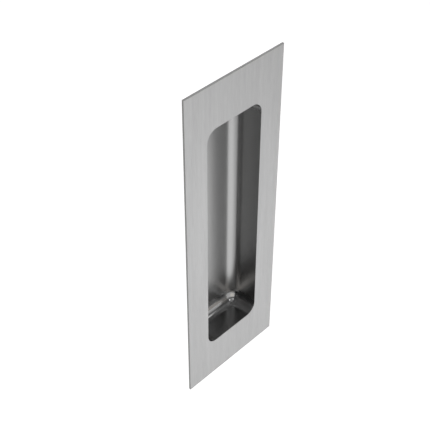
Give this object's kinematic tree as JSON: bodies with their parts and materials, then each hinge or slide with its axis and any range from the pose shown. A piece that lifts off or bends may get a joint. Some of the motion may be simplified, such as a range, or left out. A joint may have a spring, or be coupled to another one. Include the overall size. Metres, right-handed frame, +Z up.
{
  "type": "pocket door pull",
  "caption": "Flush rectangular stainless pull for a sliding pocket door: a thin brushed face plate with a deep, round-cornered finger cup behind its opening.",
  "frame": {"origin": "middle of the plate's back, on the door's face", "axes": "+Z up along the plate's length, +Y into the door, -Y out towards the hand, +X to the right as seen by the hand"},
  "size_m": [0.055, 0.0155, 0.16],
  "materials": {
    "brushed_face": "stainless sheet brushed along its height",
    "drawn_cup": "smooth bright drawn stainless sheet, its rim brushed with the face"
  },
  "bodies": {
    "root": {"face_plate": "brushed_face", "recess_cup": "drawn_cup"}
  },
  "joints": []
}
